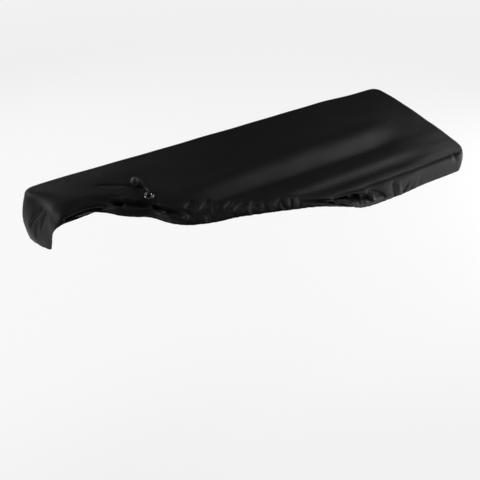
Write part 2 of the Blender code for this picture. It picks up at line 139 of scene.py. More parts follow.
cover = {
    "thickness": 1.6,
    "columns": 350, "courses": 70,       # over the top: along the length, front to back
    "skirtRows": 20, "turnRows": 6,      # down the skirt, round the hem
    "leftX": -11.0, "rightX": 1074.0,
    "backY": 366.0, "frontY": 8.0,
    "hemRightX": 1082.0, "hemBackY": 378.0, "hemZ": -3.0,
    "hemBackLeft": (-18.0, -13.0),       # x and z of the hem at the back left corner
    "hemRightFlare": 4.0,                # further out at the back than at the front
    "topCornerRadius": 20.0, "hemCornerRadius": 32.0, "leftFrontRadius": 38.0,
    "leftDroop": (52.0, 9.0, 3.0),       # width, depth at the front, depth at the back
    "droopPlaces": (285.0, 350.0),       # y where the front's depth ends, the back's begins
    "leftProfilePlaces": (150.0, 400.0), "rightProfilePlaces": (860.0, 1020.0),
    "backSlackPlaces": (8.0, 240.0),     # x over which the slack left end leaves the back hem
    "leftWallShare": (0.2, 0.8), "leftWallPlaces": (272.0, 320.0),
    "bellyLeft": 12.0, "bellyRight": 7.0, "bellyLong": 3.0,
    "sideTuck": 28.0, "tuckDrop": 2.2, "tuckDropShare": (0.4, 0.6),
    "leftDepthGain": 5.0, "leftDepthFrom": 240.0,
    "rightBackGain": 8.0, "rightBackFrom": 600.0,
    # where the sheet is evened out: centre, reach, passes
    "relaxed": [((-8.0, 286.0, 80.0), 74.0, 260), ((-14.0, 318.0, 86.0), 46.0, 70)],
    "relaxCore": 0.6, "relaxEdge": 1.2,  # shares of the reach
    # where the columns and courses gather, as share of the count against place
    "columnShares": (0, .03, .12, .57, .88, .96, 1),
    "columnPlaces": (-11, 14, 130, 560, 900, 1054, 1074),
    "courseShares": (0, .22, .93, 1),
    "coursePlaces": (0, .15, .955, 1),
    "rowShares": (0, .7, 1), "rowPlaces": (0, 6, 7),
}

# depth, then the height of the top cloth at the right end, over the middle, at the left end
topProfile = np.array([
    (0, 53, 53, 50),
    (10, 57.5, 55.6, 52),
    (37, 65, 57.2, 54),
    (43, 66.4, 58.4, 54.3),
    (59, 69, 64, 55.4),
    (64, 69.8, 65, 55.8),
    (74, 71.5, 65.8, 56.4),
    (95, 75, 65.9, 58),
    (112, 77, 65.6, 59.4),
    (126, 79, 66.8, 60.4),
    (133, 79.8, 69, 61),
    (168, 84.4, 84.2, 69),
    (175, 85.4, 86.2, 71.5),
    (225, 92, 91.2, 84),
    (262, 96, 95, 91),
    (320, 100, 101, 102),
    (366, 101, 106, 108),
], float)

# along the front: edge x, edge y, hem x, hem y, hem z, wall share, roll share, tuck
frontRail = np.array([
    (-11, 272, -1, 256, 30, 0.2, 0, 8),
    (10, 278, 0, 245, 54, 0, 0, 8),
    (34, 285, 16, 232, 66, 0, 0, 8),
    (62, 289, 50, 241, 66, 0, 0, 10),
    (97, 288, 92, 244, 66, 0, 0.1, 10),
    (132, 276, 125, 229, 65, 0, 0.5, 10),
    (165, 254, 150, 203, 62, 0, 0.9, 10),
    (195, 228, 178, 184, 58, 0, 1, 10),
    (228, 204, 212, 166, 54, 0, 1, 10),
    (262, 176, 236, 124, 52, 0, 0.9, 10),
    (295, 152, 261, 97, 52, 0, 0.6, 10),
    (330, 134, 285, 82, 52, 0, 0.3, 10),
    (375, 116, 331, 66, 52, 0, 0, 10),
    (420, 100, 380, 58, 52, 0, 0, 10),
    (470, 82, 434, 41, 51, 0, 0, 10),
    (520, 64, 483, 25, 50, 0, 0, 10),
    (575, 45, 532, 10, 48, 0.1, 0, 12),
    (635, 28, 587, -3, 42, 0.3, 0, 14),
    (700, 16, 655, -7, 20, 0.6, 0, 20),
    (760, 10, 722, -6, -3, 1, 0, 26),
    (830, 8, 812, -6, -9, 1, 0, 28),
    (940, 8, 940, -6, -4, 1, 0, 28),
    (1040, 8, 1044, -6, -3, 1, 0, 28),
    (1074, 8, 1082, -6, -3, 1, 0, 28),
], float)

# down the left end, front to back: edge y, hem x, hem y, hem z, tuck
leftRail = np.array([
    (272, -1, 256, 30, 8),
    (276, -1, 260, 10, 10),
    (283, -3, 265, -7, 18),
    (296, -11, 284, -13, 26),
    (316, -18, 315, -17, 28),
    (342, -22, 350, -17, 28),
    (366, -18, 378, -13, 28),
], float)

# skirt courses as shares of the way from edge to hem: wall out, wall down,
# rounded-over out and down, rolled-back out and down
skirtCourses = np.array([
    (0, 0, 0, 0, 0, 0),
    (0.5, 0.03, 0.2, 0.04, 0.14, 0.08),
    (0.85, 0.1, 0.4, 0.12, 0.28, 0.28),
    (1, 0.24, 0.58, 0.24, 0.42, 0.5),
    (1, 0.45, 0.74, 0.4, 0.56, 0.42),
    (1, 0.68, 0.87, 0.58, 0.72, 0.4),
    (1, 0.88, 0.96, 0.8, 0.9, 0.62),
    (0.98, 1, 1, 1, 1, 1),
])

# the hem's turn underneath: way along it, share of the tuck, share of the drop
hemTurn = np.array([
    (0, 0, 0),
    (0.1, 0.02, 0.55),
    (0.22, 0.08, 0.9),
    (0.38, 0.2, 1),
    (0.7, 0.62, 0.75),
    (1, 1, 0),
])


def topHeight(x, y):
    # the middle's profile eases into each end's own, less the left end's droop:
    # depth * (1 - distance from the end / width)^2
    ends = curveThrough(y, topProfile[:, 0], topProfile[:, 1:])
    right = easeStep(x, *cover["rightProfilePlaces"])
    left = 1.0 - easeStep(x, *cover["leftProfilePlaces"])
    level = ends[..., 1] * (1.0 - right - left) + ends[..., 0] * right + ends[..., 2] * left
    width, front, back = cover["leftDroop"]
    depth = front + (back - front) * easeStep(y, *cover["droopPlaces"])
    return level - depth * np.clip(1.0 - (x - cover["leftX"]) / width, 0.0, 1.0)**2


def roundCorners(x, y, radius, leftFront):
    # square plan corners drawn in to arcs by the square-to-disc map: a * sqrt(1 - b^2 / 2) and
    # b * sqrt(1 - a^2 / 2), with a and b the shares of the radius past the arc's centre
    leastRoot = 0.3
    corners = [(1, 1, cover["rightX"], cover["backY"], radius),
               (-1, 1, cover["leftX"], cover["backY"], radius),
               (1, -1, cover["rightX"], cover["frontY"], radius)]
    if leftFront:
        corners.append((-1, -1, cover["leftX"], frontRail[0, 1], cover["leftFrontRadius"]))
    for sx, sy, edgeX, edgeY, r in corners:
        inset = cover["leftFrontRadius"] if (sx, sy) == (-1, -1) else cover["topCornerRadius"]
        cx, cy = edgeX - sx * inset, edgeY - sy * inset
        a, b = (x - cx) * sx / r, (y - cy) * sy / r
        inside = (a > 0) & (b > 0)
        drawA = np.sqrt(np.maximum(1.0 - b**2 / 2.0, leastRoot))
        drawB = np.sqrt(np.maximum(1.0 - a**2 / 2.0, leastRoot))
        x, y = (np.where(inside, cx + sx * a * drawA * r, x),
                np.where(inside, cy + sy * b * drawB * r, y))
    return x, y


def rails():
    # edge and hem rows once round the cover in frontRail's columns: the front from the left,
    # the right end, the back and the left end, each a cubic through its table or a straight blend
    share = np.linspace(0.0, 1.0, cover["columns"] + 1)
    along = np.interp(share, cover["columnShares"], cover["columnPlaces"])
    across = np.interp(np.linspace(0.0, 1.0, cover["courses"] + 1),
                       cover["courseShares"], cover["coursePlaces"])
    front = curveThrough(along, frontRail[:, 0], frontRail)
    inner = across[1:-1]
    whole = np.ones_like(inner)
    hemFrontY = frontRail[-1, 3]
    right = np.stack([cover["rightX"] * whole,
                      cover["frontY"] + (cover["backY"] - cover["frontY"]) * inner,
                      cover["hemRightX"] + cover["hemRightFlare"] * inner,
                      hemFrontY + (cover["hemBackY"] - hemFrontY) * inner,
                      cover["hemZ"] * whole, whole, 0 * whole, cover["sideTuck"] * whole], 1)
    backX = along[::-1]
    way = (backX - cover["leftX"]) / (cover["rightX"] - cover["leftX"])
    slack = 1.0 - easeStep(backX, *cover["backSlackPlaces"])
    whole = np.ones_like(way)
    hemLeftX, hemLeftZ = cover["hemBackLeft"]
    back = np.stack([backX, cover["backY"] * whole,
                     hemLeftX + (cover["hemRightX"] + cover["hemRightFlare"] - hemLeftX) * way,
                     cover["hemBackY"] * whole,
                     cover["hemZ"] + (hemLeftZ - cover["hemZ"]) * slack,
                     whole, 0 * whole, cover["sideTuck"] * whole], 1)
    leftY = (front[0, 1] + (cover["backY"] - front[0, 1]) * inner)[::-1]
    hem = curveThrough(leftY, leftRail[:, 0], leftRail)
    least, gain = cover["leftWallShare"]
    wall = least + gain * easeStep(leftY, *cover["leftWallPlaces"])
    left = np.stack([np.full_like(leftY, cover["leftX"]), leftY, hem[:, 1], hem[:, 2],
                     hem[:, 3], wall, 0 * wall, hem[:, 4]], 1)
    return np.concatenate([front, right, back, left]), along, across, front[:, 1]


def sway(points):
    # the cloth's slack: y grows by leftDepthGain * ease(y) * (1 - share of the length), and
    # x by rightBackGain * ease(x) * share of the depth
    x, y = points[..., 0].copy(), points[..., 1].copy()
    points[..., 1] += (cover["leftDepthGain"] * easeStep(y, cover["leftDepthFrom"], cover["backY"])
                       * (1.0 - x / cover["rightX"]))
    points[..., 0] += (cover["rightBackGain"]
                       * easeStep(x, cover["rightBackFrom"], cover["rightX"])
                       * (y / cover["backY"]))
    return points


def clothSheet():
    # outer face: a grid over the top, then rings down the skirt and round the hem. A skirt
    # point is edge + (hem - edge) * its course's shares + outwards * belly * sin(pi * share down)
    rail, along, across, edgeY = rails()
    x = np.repeat(along[:, None], cover["courses"] + 1, 1)
    y = edgeY[:, None] + (cover["backY"] - edgeY[:, None]) * across[None, :]
    x, y = roundCorners(x, y, cover["topCornerRadius"], True)
    top = np.stack([x, y, topHeight(x, y)], 2)

    edgeX, edgeY = roundCorners(rail[:, 0], rail[:, 1], cover["topCornerRadius"], True)
    hemX, hemY = roundCorners(rail[:, 2], rail[:, 3], cover["hemCornerRadius"], False)
    edge = np.stack([edgeX, edgeY, topHeight(edgeX, edgeY)], 1)
    hem = np.stack([hemX, hemY, rail[:, 4]], 1)
    wall, roll, tuck = rail[:, 5:6], rail[:, 6:7], rail[:, 7:8]
    out = (hem - edge)[:, :2]
    out /= np.linalg.norm(out, axis=1)[:, None]
    endBelly = np.where(out[:, :1] > 0, cover["bellyRight"], cover["bellyLeft"])
    belly = (endBelly * out[:, :1]**2 + cover["bellyLong"] * out[:, 1:]**2) * wall

    share = np.linspace(0.0, 1.0, cover["skirtRows"] + 1)[1:]
    steps = np.interp(share, cover["rowShares"], cover["rowPlaces"])
    rows = curveThrough(steps, np.arange(len(skirtCourses), dtype=float), skirtCourses)
    away = (wall * rows[:, 0] + (1 - wall) * (rows[:, 2] * (1 - roll) + rows[:, 4] * roll)).T
    down = (wall * rows[:, 1] + (1 - wall) * (rows[:, 3] * (1 - roll) + rows[:, 5] * roll)).T
    skirt = edge + (hem - edge) * np.stack([away, away, down], 2)
    skirt[..., :2] += out * belly * np.sin(np.pi * np.clip(down, 0.0, 1.0))[..., None]
    turn = curveThrough(np.linspace(0.0, 1.0, cover["turnRows"] + 1)[1:],
                        hemTurn[:, 0], hemTurn[:, 1:])
    under = np.repeat(hem[None], len(turn), 0)
    under[..., :2] -= out * tuck * turn[:, :1, None]
    least, gain = cover["tuckDropShare"]
    under[..., 2] -= cover["tuckDrop"] * (least + gain * wall[:, 0]) * turn[:, 1:]
    rings = np.concatenate([skirt, under])
    return sway(top), sway(rings), rail, out


def sheetMesh(top, rings):
    # points and outward quads: the top grid, then each ring joined to the one above
    columns, courses = top.shape[0] - 1, top.shape[1] - 1
    index = np.arange(top.shape[0] * top.shape[1]).reshape(top.shape[:2])
    faces = np.stack([index[:-1, :-1], index[1:, :-1], index[1:, 1:], index[:-1, 1:]], 2)
    loop = np.concatenate([index[:, 0], index[columns, 1:-1], index[::-1, courses],
                           index[0, -2:0:-1]])
    below = index.size + np.arange(rings.shape[0] * rings.shape[1]).reshape(rings.shape[:2])
    lines = np.concatenate([loop[None], below])
    upper, lower = lines[:-1], lines[1:]
    bands = np.stack([upper, lower, np.roll(lower, -1, 1), np.roll(upper, -1, 1)], 2)
    points = np.concatenate([top.reshape(-1, 3), rings.reshape(-1, 3)])
    return points, np.concatenate([faces.reshape(-1, 4), bands.reshape(-1, 4)]), loop


# one fold a row: x, y, z of its start, middle and end, half width, height (plus is a ridge and
# minus a crease), lean (plus spreads to the right of its run)
folds = np.array([
    # left end: three slim creases slanting down
    (1, 303, 77, -12, 313, 60, -25, 327, 30, 5.2, -4.8, 0.25),
    (4, 289, 74, -3, 291, 59, -10, 295, 38, 5.6, -3.6, 0.2),
    (-12, 304, 47, -18, 308, 30, -20, 309, 11, 5.6, -3, 0.1),
    (-16, 323, 60, -22, 329, 50, -26, 334, 36, 5, 1.6, 0),
    # wrinkles on the top, left of the lock
    (142, 304, 99, 178, 289, 96, 215, 267, 92, 5, -2.4, 0.4),
    (214, 269, 93, 226, 258, 91, 233, 245, 89, 5, -2.6, 0.4),
    (154, 255, 89, 165, 248, 88, 175, 241, 87, 4.5, -3, 0.4),
    (156, 246, 85, 177, 232, 84, 199, 214, 80, 6, 1.6, 0),
    # lapped cloth above the rolled hem
    (32, 242, 73, 99, 244, 72, 167, 228, 77, 6.2, -12, 0.45),
    (169, 230, 79, 167, 226, 75, 159, 212, 77, 4, -2, 0.2),
    (167, 228, 77, 191, 210, 73, 219, 189, 68, 6, -3.5, 0.4),
    (203, 211, 79, 225, 193, 74, 245, 167, 69, 6, -3, 0.4),
    (232, 179, 68, 241, 165, 66, 249, 144, 67, 5, -12, 0.45),
    (250, 151, 66, 264, 131, 65, 278, 111, 63, 5.4, -17, 0.3),
    (228, 152, 65, 245, 126, 63, 267, 100, 59, 6, 3, 0),
    (238, 178, 72, 265, 150, 70, 292, 123, 66, 6, 2.6, 0),
    (168, 206, 76, 172, 199, 74, 177, 194, 72, 5, -2.5, 0),
    (255, 170, 76, 261, 162, 74, 268, 156, 73, 4.5, -2.6, 0.2),
    (238, 133, 63, 245, 126, 63, 252, 119, 63, 4.5, 1.8, 0),
    # facet and folded-over pleat
    (309, 150, 72, 299, 143, 71, 285, 136, 69, 4.5, -2.8, -0.2),
    (315, 148, 72, 313, 134, 69, 310, 116, 65, 4.5, -3.2, 0.2),
    (286, 132, 68, 295, 124, 66, 308, 119, 66, 5, 3, 0),
    (293, 139, 70, 303, 140, 70, 309, 132, 68, 6, -5, 0.5),
    (350, 136, 69, 336, 127, 67, 319, 118, 66, 4.3, -5.6, 0),
    (317, 115, 65, 318, 106, 63, 320, 94, 61, 4.2, -4.4, 0.2),
    (320, 91, 61, 317, 83, 59, 312, 75, 55, 4.2, -4, -0.2),
    (345, 137, 69, 324, 125, 67, 309, 121, 66, 3.2, 0.9, 0),
    (308, 120, 66, 313, 105, 63, 314, 90, 60, 3.2, 1.9, 0),
    # slanting gathers over the keys
    (349, 95, 63, 359, 86, 63, 372, 81, 62, 6, -3.4, 0.2),
    (370, 92, 64, 384, 100, 65, 398, 109, 66, 3.4, -3.8, 0.1),
    (377, 90, 64, 390, 97, 65, 401, 104, 65, 3.4, -2.8, 0.1),
    (385, 72, 61, 405, 82, 64, 425, 81, 65, 4, -5, 0.2),
    (449, 72, 65, 436, 72, 64, 420, 49, 55, 4.2, -5.2, 0.4),
    (438, 64, 63, 437, 57, 61, 435, 52, 59, 3.6, -2.4, 0),
    (362, 106, 65, 372, 106, 65, 379, 101, 65, 5, 1.8, 0),
    (375, 73, 61, 385, 68, 59, 399, 64, 60, 5, 2, 0),
    (352, 120, 66, 349, 105, 64, 337, 91, 62, 5, -2.6, 0),
    # tent over the keys
    (497, 49, 63, 485, 40, 60, 471, 32, 54, 4.4, -5, -0.2),
    (501, 47, 63, 498, 34, 59, 501, 22, 53, 4.4, -5, 0.2),
    (499, 49, 63, 493, 39, 61, 487, 29, 56, 5, 2.4, 0),
    (524, 40, 61, 517, 28, 58, 510, 19, 52, 4, -3.6, -0.1),
    (543, 34, 59, 537, 22, 56, 531, 13, 51, 5, -2, 0),
    (460, 60, 63, 454, 48, 60, 449, 40, 55, 6, -1.6, 0),
    # twist where the hem drops over the front
    (547, 28, 58, 589, 6, 53, 623, -6, 42, 4.4, -7.5, 0.4),
    (615, -4, 46, 653, -8, 27, 693, -6, 6, 4.4, -7, 0.4),
    (615, 0, 51, 650, -8, 37, 698, -8, 11, 4, 2.6, 0),
    (629, -2, 50, 664, -6, 47, 704, -9, 37, 6.5, -16, 0.5),
    (688, -8, 42, 717, -10, 33, 742, -10, 18, 6.5, -16, 0.5),
    (650, -8, 35, 686, -9, 21, 726, -9, 11, 6, 4.5, 0),
    (720, -9, 13, 757, -9, 7, 795, -9, 4, 5.5, 4.5, 0),
    (705, -10, 34, 707, -10, 23, 711, -8, 7, 4, 3.2, 0),
    (732, -9, 39, 745, -11, 29, 749, -10, 11, 3.8, 6, 0),
    (735, -9, 40, 759, -11, 31, 789, -10, 12, 7, -16, 0.45),
    (754, -10, 17, 773, -10, 9, 793, -8, 1, 4, -3, 0.2),
    (714, 0, 53, 744, -3, 51, 776, -5, 49, 4.5, -1.5, 0.3),
    # gathers in the front skirt
    (798, -10, 7, 806, -10, 10, 821, -9, 5, 3.6, -2.2, 0),
    (803, -9, 4, 811, -9, 4, 824, -8, 0, 3.6, 2.4, 0),
    (816, -11, 34, 821, -11, 18, 830, -7, -5, 6.5, -6.5, 0.3),
    (835, -11, 26, 839, -10, 12, 847, -6, -7, 4.5, 2.4, 0),
    (868, -10, 18, 863, -9, 6, 858, -7, -4, 4.5, -5, 0.3),
    (889, -9, 12, 885, -8, 2, 882, -6, -5, 4, -2.8, 0.2),
    (914, -9, 22, 912, -9, 13, 913, -8, 5, 4, -1.8, 0.2),
    (725, -7, 46, 798, -7, 46, 881, -6, 47, 5, -1.4, 0.5),
    # pucker at the right front corner
    (1031, 1, 55, 1035, -6, 49, 1040, -9, 37, 4.5, -4.2, 0.2),
    (1026, 5, 56, 1027, -4, 51, 1027, -8, 41, 5, 2.2, 0),
], float)


foldShape = {
    "samples": 9,                          # points along each fold's bent line
    "endWidth": 0.55, "middleGain": 0.45,  # shares of the half width, at the ends and added amid
    "ridgeEdge": 2.0, "creaseEdge": 1.3,   # a rounded ridge, a sharp crease
    "reach": 4.0,                          # how far a fold is worked out, in half widths
}


def relaxed(points, faces, centre, reach, passes):
    # each pass moves a point towards the mean of its neighbours, by the share
    # exp(-(distance from the centre / core)^2)
    edges = np.stack([np.concatenate([faces.ravel(), np.roll(faces, -1, 1).ravel()]),
                      np.concatenate([np.roll(faces, -1, 1).ravel(), faces.ravel()])], 1)
    near = np.linalg.norm(points - centre, axis=1) < reach * cover["relaxEdge"]
    edges = edges[near[edges[:, 0]]]
    count = np.bincount(edges[:, 0], minlength=len(points))
    core = cover["relaxCore"] * reach
    pull = np.exp(-(np.linalg.norm(points - centre, axis=1) / core)**2)
    pull = np.where(count > 0, pull, 0.0)[:, None]
    points = points.copy()
    for _ in range(passes):
        total = np.stack([np.bincount(edges[:, 0], points[edges[:, 1], axis], len(points))
                          for axis in range(3)], 1)
        mean = total / np.maximum(count, 1)[:, None]
        points += pull * (mean - points)
    return points


def foldHeights(points, normals):
    # sum over the folds of height * exp(-(distance from the fold's line / half width)^edge). The
    # line is a parabola through start, middle and end, and the half width is a spindle,
    # (end share + gain * sin(pi * place)) * (1 + lean * side)
    height = np.zeros(len(points))
    share = np.linspace(0.0, 1.0, foldShape["samples"])
    for row in folds:
        start, middle, end = row[:3], row[3:6], row[6:9]
        width, rise, lean = row[9:]
        edge = foldShape["ridgeEdge" if rise > 0 else "creaseEdge"]
        bend = 2.0 * middle - 0.5 * (start + end)
        line = (((1 - share)**2)[:, None] * start + (2 * share * (1 - share))[:, None] * bend
                + (share**2)[:, None] * end)
        near = np.flatnonzero(np.linalg.norm(points - middle, axis=1)
                              < np.linalg.norm(end - start) + foldShape["reach"] * width)
        way = points[near, None] - line[:-1]
        run = np.diff(line, axis=0)
        along = np.clip((way * run).sum(2) / (run * run).sum(1), 0.0, 1.0)
        away = np.linalg.norm(way - along[..., None] * run, axis=2)
        pick = (np.arange(len(near)), away.argmin(1))
        place = (pick[1] + along[pick]) / len(run)
        right = np.cross(run[pick[1]], normals[near])
        right /= np.linalg.norm(right, axis=1)[:, None]
        offset = way[pick] - along[pick][:, None] * run[pick[1]]
        side = (offset * right).sum(1) / np.maximum(away[pick], 1e-6)
        spindle = foldShape["endWidth"] + foldShape["middleGain"] * np.sin(np.pi * place)
        slim = width * spindle * (1.0 + lean * side)
        height[near] += rise * np.exp(-(away[pick] / slim)**edge)
    return height


pucker = {
    # place along the front, then how deep the gathers there are and how far up they run
    "front": np.array([(-11, .15, 30), (60, .2, 26), (130, .2, 26), (200, .25, 30),
                       (300, .4, 30), (420, .5, 34), (520, .45, 30), (620, .4, 26),
                       (700, .45, 30), (790, .6, 34), (860, .5, 26), (940, .25, 18),
                       (1074, .2, 18)], float),
    "ends": (0.3, 24.0),        # the same on the ends and along the back
    # length of a wave, length over which it drifts, how far it drifts, its share
    "waves": ((17.3, 71.0, 1.3, 0.55), (26.9, 113.0, 0.9, 0.45)),
    "slant": 0.55, "fade": 1.6,
    # the slow unevenness of the whole sheet: height, then how it runs along x and along y
    "unevenness": 0.5, "alongX": (31.0, 1.7, 47.0), "alongY": (23.0, 1.1, 67.0),
}


def hemWays(points, loop, ringCount):
    # distance along the hem to each column, each ring point's distance up from the hem, and its
    # distance down from the top's edge, added up from point to point
    size = len(loop)
    rings = points[-ringCount * size:].reshape(ringCount, size, 3)
    lines = np.concatenate([points[loop][None], rings])
    hemRow = cover["skirtRows"]
    hem = lines[hemRow]
    step = np.linalg.norm(np.roll(hem, -1, 0) - hem, axis=1)
    along = np.concatenate([[0.0], np.cumsum(step)[:-1]])
    drop = np.linalg.norm(np.diff(lines, axis=0), axis=2)
    fall = np.concatenate([np.zeros((1, size)), np.cumsum(drop, 0)])
    up = fall[hemRow] - fall                      # positive above the hem, negative under it
    return along, up, fall


def buildCloth():
    # each point moves along its normal by folds + gathers + unevenness. The gathers are
    # depth * sum of share * sin(2 pi * way / length + drift) * exp(-(height up / reach)^fade)
    top, rings, rail, out = clothSheet()
    points, faces, loop = sheetMesh(top, rings)
    columns, courses = cover["columns"], cover["courses"]
    along, up, fall = hemWays(points, loop, len(rings))
    size = len(loop)

    def everywhere(values):
        # one value per place on the hem, given to every point of the sheet that lies over it
        onTop = np.repeat(values[:columns + 1, None], courses + 1, 1)
        return np.concatenate([onTop.ravel(), np.tile(values, len(rings))])

    # heights up from the hem: each column of the top carries on from its own place there
    steps = np.linalg.norm(np.diff(top, axis=1), axis=2)
    inward = np.concatenate([np.zeros((columns + 1, 1)), np.cumsum(steps, 1)], 1)
    upTop = up[0, :columns + 1, None] + inward
    alongAll = everywhere(along)
    upAll = np.concatenate([upTop.ravel(), up[1:].ravel()])

    # depth and reach of the gathers, by place
    frontDepth = curveThrough(rail[:columns + 1, 0], pucker["front"][:, 0], pucker["front"][:, 1:])
    depth = np.full(size, pucker["ends"][0])
    reach = np.full(size, pucker["ends"][1])
    depth[:columns + 1], reach[:columns + 1] = frontDepth.T

    slanted = alongAll + pucker["slant"] * np.maximum(upAll, 0.0)
    wave = sum(share * np.sin(2 * np.pi * slanted / length
                              + swing * np.sin(2 * np.pi * alongAll / drift))
               for length, drift, swing, share in pucker["waves"])
    fade = np.exp(-(np.maximum(upAll, 0.0) / everywhere(reach))**pucker["fade"])
    gathers = everywhere(depth) * wave * fade

    x, y = points[:, 0], points[:, 1]
    lengthX, swingX, driftX = pucker["alongX"]
    lengthY, swingY, driftY = pucker["alongY"]
    uneven = pucker["unevenness"] * (np.sin(x / lengthX + swingX * np.sin(y / driftX))
                                     * np.sin(y / lengthY + swingY * np.sin(x / driftY)))
    for centre, reach, passes in cover["relaxed"]:
        points = relaxed(points, faces, np.array(centre), reach, passes)
    normals = pointNormals(points, faces)
    points = points + normals * (foldHeights(points, normals) + gathers + uneven)[:, None]

    # flat map in metres: the top as it lies, the skirt carried on outwards from its edge
    uvTop = np.stack([top[..., 0], top[:, -1:, 1] - (inward[:, -1:] - inward)], 2)
    uvTop = uvTop.reshape(-1, 2)
    uvRings = uvTop[loop][None] + out[None] * fall[1:, :, None]
    uv = np.concatenate([uvTop, uvRings.reshape(-1, 2)]) * mm
    hemWay = np.stack([alongAll, upAll], 1) * mm
    return (points - origin) * mm, faces, uv, hemWay


clothPoints, clothFaces, clothUv, hemUv = buildCloth()


class Nodes:
    # short way to build a material's node tree: add(kind, settings, input values or links),
    # put(socket, value or link), maths(operation, a, b)
    def __init__(self, name):
        self.material = bpy.data.materials.new(name)
        self.material.use_nodes = True
        self.tree = self.material.node_tree
        self.shader = self.tree.nodes["Principled BSDF"]

    def add(self, kind, settings=None, **inputs):
        node = self.tree.nodes.new(kind)
        for key, value in (settings or {}).items():
            setattr(node, key, value)
        for key, value in inputs.items():
            numbered = key.startswith("in") and key[2:].isdigit()
            self.put(node.inputs[int(key[2:]) if numbered else key], value)
        return node

    def put(self, socket, value):
        if isinstance(value, bpy.types.NodeSocket):
            self.tree.links.new(value, socket)
        else:
            socket.default_value = value

    def maths(self, operation, a, b=None):
        inputs = {"in0": a} if b is None else {"in0": a, "in1": b}
        return self.add("ShaderNodeMath", {"operation": operation}, **inputs).outputs[0]

    def wave(self, turns):
        # sine of whole turns
        return self.maths("SINE", self.maths("MULTIPLY", turns, 2 * math.pi))

    def ways(self, mapName):
        # the two ways, X and Y, of one of the piece's own maps
        place = self.add("ShaderNodeUVMap", {"uv_map": mapName})
        return self.add("ShaderNodeSeparateXYZ", Vector=place.outputs["UV"]).outputs

    def blend(self, share, first, second):
        return self.add("ShaderNodeMix", {"data_type": "RGBA"}, in0=share, in6=first,
                        in7=second).outputs[2]

    def finish(self, sockets):
        # links or plain values straight onto the shader's own sockets
        for name, value in sockets.items():
            self.put(self.shader.inputs[name], value)
        return self.material


knit = {
    # the size of a stitch across and along, metres, and how far its legs slant
    "wale": 0.0013, "course": 0.001, "slant": 1.3,
    "loopShare": 0.5, "bump": 0.25, "relief": 0.00012,
    "dark": (0.003, 0.003, 0.0032, 1.0), "light": (0.0042, 0.0042, 0.0044, 1.0),
    "patches": {"Scale": 9.0, "Detail": 4.0, "Roughness": 0.6},
    "roughness": 0.5, "specular": 0.25,
    "sheen": 0.004, "sheenRoughness": 0.4,
}

hemSeam = {
    # the hem's casing, the sewn line's half width and the length of a stitch, metres
    "casing": 0.011, "line": 0.0009, "stitch": 0.0034,
    # how deep the line pulls in, and how high the thread stands in it
    "sink": 0.0009, "thread": 0.0004,
}


def seamRelief(nodes):
    # height of the hem's sewn line: exp(-(offset / line)^2) * (thread * wave - sink), where
    # offset is the distance from the line and wave the upper half of a sine, once a stitch
    ways = nodes.ways("hemMap")
    offset = nodes.maths("DIVIDE", nodes.maths("SUBTRACT", ways["Y"], hemSeam["casing"]),
                         hemSeam["line"])
    square = nodes.maths("POWER", offset, 2.0)
    near = nodes.maths("EXPONENT", nodes.maths("MULTIPLY", square, -1.0))
    stitches = nodes.maths("DIVIDE", ways["X"], hemSeam["stitch"])
    thread = nodes.maths("MAXIMUM", nodes.wave(stitches), 0.0)
    lift = nodes.maths("SUBTRACT", nodes.maths("MULTIPLY", thread, hemSeam["thread"]),
                       hemSeam["sink"])
    return nodes.maths("MULTIPLY", near, lift)


def knitCloth():
    # fine stretch knit: each wale is a column of slanted legs, its two sides mirrored, and the
    # black is a little lighter and darker in soft patches
    nodes = Nodes("knitCloth")
    ways = nodes.ways("clothMap")
    wale = nodes.maths("DIVIDE", ways["X"], knit["wale"])
    course = nodes.maths("DIVIDE", ways["Y"], knit["course"])
    leg = nodes.maths("PINGPONG", wale, 0.5)
    slanted = nodes.maths("ADD", course, nodes.maths("MULTIPLY", leg, knit["slant"]))
    loops, groove = nodes.wave(slanted), nodes.wave(leg)
    relief = nodes.maths("ADD", nodes.maths("MULTIPLY", loops, knit["loopShare"]), groove)
    seam = nodes.add("ShaderNodeBump", Strength=1.0, Distance=1.0, Height=seamRelief(nodes))
    bump = nodes.add("ShaderNodeBump", Strength=knit["bump"], Distance=knit["relief"],
                     Height=relief, Normal=seam.outputs["Normal"])
    where = nodes.add("ShaderNodeTexCoord").outputs["Object"]
    patches = nodes.add("ShaderNodeTexNoise", Vector=where, **knit["patches"])
    return nodes.finish({
        "Base Color": nodes.blend(patches.outputs["Fac"], knit["dark"], knit["light"]),
        "Normal": bump.outputs["Normal"],
        "Roughness": knit["roughness"], "Specular IOR Level": knit["specular"],
        "Sheen Weight": knit["sheen"], "Sheen Roughness": knit["sheenRoughness"]})


smallParts = {
    # colours are the duller and the brighter of two, and sizes metres
    "eyelet": {"dark": (0.1, 0.1, 0.105, 1.0), "light": (0.38, 0.38, 0.4, 1.0),
               "rub": {"Scale": 420.0, "Detail": 3.0},
               "roughness": 0.2, "rubRoughness": 0.14},
    "lock": {"dark": (0.01, 0.01, 0.011, 1.0), "light": (0.016, 0.016, 0.017, 1.0),
             "grain": {"Scale": 2600.0, "Detail": 2.0}, "bump": 0.25, "relief": 0.00006,
             "patches": {"Scale": 160.0, "Detail": 2.0}, "roughness": 0.5},
    # the cord's dark colour is painted shade for the grooves between its strands, and its light
    # colour is for the raised strands
    "cord": {"dark": (0.004, 0.004, 0.0045, 1.0), "light": (0.009, 0.009, 0.01, 1.0),
             "plait": 0.0022, "plaitsRound": 4.0, "bump": 0.7, "relief": 0.00025,
             "roughness": 0.6, "sheen": 0.03},
}


